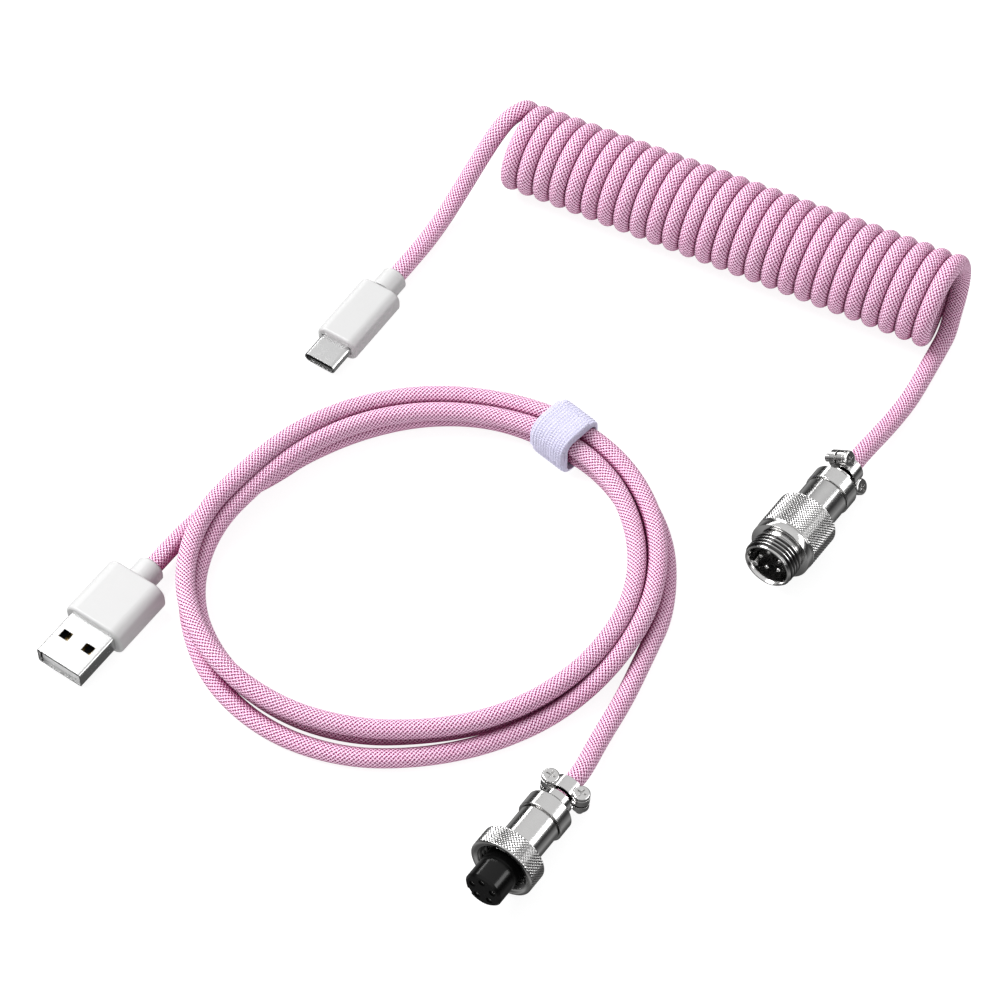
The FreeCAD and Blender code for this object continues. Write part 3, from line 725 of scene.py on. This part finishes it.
def tongue_material():
    """White block of the USB-A plug, painted nearly black behind its tongue's front as the shade
    inside the shell.
    """
    nodes = Nodes("plug_tongue")
    nose = Vector(MOUNTS["usb_a_plug"]["axis"]).normalized()
    place = nodes.tree.nodes.new("ShaderNodeTexCoord").outputs["Object"]
    reach = nodes.tree.nodes.new("ShaderNodeVectorMath")
    reach.operation = "DOT_PRODUCT"
    nodes.tree.links.new(place, reach.inputs[0])
    reach.inputs[1].default_value = nose
    mouth = nose.dot(Vector(MOUNTS["usb_a_plug"]["pos_m"]))
    edge = mouth - TONGUE_LIT
    lit = nodes.step(reach.outputs["Value"], edge, edge + TONGUE_FADE)
    mottle = nodes.noise(900.0, 3.0)
    white = nodes.mix(mottle, (0.62, 0.62, 0.62), (0.56, 0.56, 0.56))
    # painted shade: behind the tongue's front, the white block turns nearly black
    nodes.set(Base_Color=nodes.mix(lit, (0.008, 0.008, 0.008), white), Roughness=0.45)
    nodes.bump(mottle, 0.02 * MM, 0.5)
    return nodes.material


def strap_material():
    """Lavender hook-and-loop tape: a low pile of tiny loops over a ribbed weave."""
    nodes = Nodes("lavender_strap")
    pile = nodes.noise(2600.0, 4.0, 0.7)
    patch = nodes.noise(500.0, 2.0)
    colour = nodes.mix(pile, (0.45, 0.435, 0.60), (0.63, 0.615, 0.78))
    nodes.set(Base_Color=nodes.mix(nodes.math("MULTIPLY", patch, 0.3), colour, (0.66, 0.65, 0.79)),
              Roughness=0.9, Sheen_Weight=0.2, Sheen_Roughness=0.6)
    nodes.bump(pile, 0.25 * MM)
    return nodes.material


FINISHES = {
    "white_plastic": plastic_material("white_plastic", (0.475, 0.475, 0.475), 0.32, 0.96),
    "black_plastic": plastic_material("black_plastic", (0.003, 0.003, 0.003), 0.06, 0.8, 0.25),
    "board": plastic_material("board", (0.01, 0.09, 0.03), 0.5, 0.7),
    "wire_sleeve": plastic_material("wire_sleeve", (0.55, 0.42, 0.38), 0.5, 0.8),
    "nickel": metal_material("nickel", (0.74, 0.735, 0.73), 0.08, 0.004 * MM),
    "plug_steel": metal_material("plug_steel", (0.67, 0.67, 0.67), 0.2, 0.006 * MM),
    "contact_metal": metal_material("contact_metal", (0.82, 0.81, 0.80), 0.14, 0.003 * MM),
    "gold_contact": metal_material("gold_contact", (0.86, 0.62, 0.26), 0.2, 0.003 * MM),
    "pink_braid": braid_material(),
    "lavender_strap": strap_material(),
    "plug_tongue": tongue_material(),
}


def finish_cad_nodes():
    """Every CAD node takes the finish its record slot names, and the USB-A block its own, with painted
    shade behind its front.
    """
    for subpart in frame["record"]["subparts"]:
        node = frame["nodes"][subpart["node"]]
        for place in range(len(node.material_slots)):
            node.material_slots[place].material = FINISHES[subpart["material_slot"]]
    frame["nodes"]["usb_a_insulator"].material_slots[0].material = FINISHES["plug_tongue"]


# ------------------------------------------------------------------ camera, floor, light
def make_camera():
    """A camera in front of the set that looks down on it."""
    target = laid(0, 0, 0)
    away = Vector((0, -math.cos(CAMERA_ELEVATION), math.sin(CAMERA_ELEVATION)))
    camera = bpy.data.cameras.new("camera")
    camera.lens = CAMERA_LENS
    camera.clip_start = 0.01
    holder = bpy.data.objects.new("camera", camera)
    holder.location = target + away * CAMERA_DISTANCE
    holder.rotation_euler = (math.pi / 2 - CAMERA_ELEVATION, 0, 0)
    bpy.context.scene.collection.objects.link(holder)
    bpy.context.scene.camera = holder


def area_light(name, place, size, power, diffuse=True):
    """A soft box aimed at the origin. Without diffuse it shows only in gloss."""
    light = bpy.data.lights.new(name, "AREA")
    light.shape = "RECTANGLE"
    light.size, light.size_y = size
    light.energy = power
    holder = bpy.data.objects.new(name, light)
    holder.location = place
    holder.rotation_euler = (-Vector(place)).to_track_quat("-Z", "Y").to_euler()
    holder.visible_diffuse = diffuse
    bpy.context.scene.collection.objects.link(holder)


def make_floor():
    """A pale floor, lit up to white. Gloss passes it by and mirrors the studio's dark below."""
    nodes = Nodes("floor")
    cloud = nodes.noise(3.0, 2.0)
    colour = nodes.mix(cloud, (0.20, 0.20, 0.20), (0.21, 0.21, 0.21))
    nodes.set(Base_Color=colour, Roughness=0.9, Emission_Color=(1, 1, 1), Emission_Strength=0.88)
    mesh = bpy.data.meshes.new("floor")
    corners = [(FLOOR_HALF * x, FLOOR_HALF * y, 0) for x, y in ((-1, -1), (1, -1), (1, 1), (-1, 1))]
    mesh.from_pydata(corners, [], [(0, 1, 2, 3)])
    mesh.materials.append(nodes.material)
    floor = bpy.data.objects.new("floor", mesh)
    bpy.context.scene.collection.objects.link(floor)
    floor.visible_glossy = False


SKY = [                           # height of the direction, 0 down and 1 up, and its grey
    (0.0, 0.08), (0.1, 0.1), (0.22, 0.34), (0.46, 0.03),
    (0.56, 0.05), (0.62, 0.4), (0.75, 0.75), (1.0, 0.85),
]


def make_light():
    """Even light from above, dark at the horizon, a soft key and two long boxes for the metal."""
    world = bpy.data.worlds.new("studio")
    world.use_nodes = True
    tree = world.node_tree
    split = tree.nodes.new("ShaderNodeSeparateXYZ")
    tree.links.new(tree.nodes.new("ShaderNodeTexCoord").outputs["Generated"], split.inputs[0])
    height = tree.nodes.new("ShaderNodeMath")
    height.operation = "MULTIPLY_ADD"
    height.inputs[1].default_value = 0.5
    height.inputs[2].default_value = 0.5
    tree.links.new(split.outputs["Z"], height.inputs[0])
    ramp = tree.nodes.new("ShaderNodeValToRGB")
    tree.links.new(height.outputs[0], ramp.inputs[0])
    stops = ramp.color_ramp.elements
    while len(stops) < len(SKY):
        stops.new(0.5)
    for stop, (position, grey) in zip(stops, SKY):
        stop.position = position
        stop.color = (grey, grey, grey, 1)
    tree.links.new(ramp.outputs[0], tree.nodes["Background"].inputs["Color"])
    bpy.context.scene.world = world
    area_light("key", (-0.7, 0.35, 0.9), (0.7, 0.7), 20.0)
    area_light("right_box", (1.3, -0.15, 0.62), (1.8, 0.42), 11.0, False)
    area_light("back_box", (-0.5, 1.5, 0.45), (1.2, 0.2), 4.0, False)
    bpy.context.scene.view_settings.view_transform = "Standard"


# ------------------------------------------------------------------ cords
def make_cords():
    """Both cords, each one smooth tube from its plug to its connector."""
    braid = FINISHES["pink_braid"]
    line = spline_line("coiled_route", coiled_route(), COIL_SMOOTHNESS)
    cord = cord_mesh("coiled_cord", line, CORD_D / 2, CORD_SIDES, "coiled_half", braid)
    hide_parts("coiled_cord_lead", "coiled_cord_coil", "coiled_cord_tail")
    line = spline_line("straight_route", straight_route(), RING_SMOOTHNESS)
    cord = cord_mesh("straight_cord", line, CORD_D / 2, CORD_SIDES, "straight_half", braid)
    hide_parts("straight_cord_lead", "straight_cord_ring", "straight_cord_tail")


make_camera()
make_male_shell()
make_key_rib()
make_nut()
make_cords()
make_strap()
make_floor()
make_light()
finish_cad_nodes()
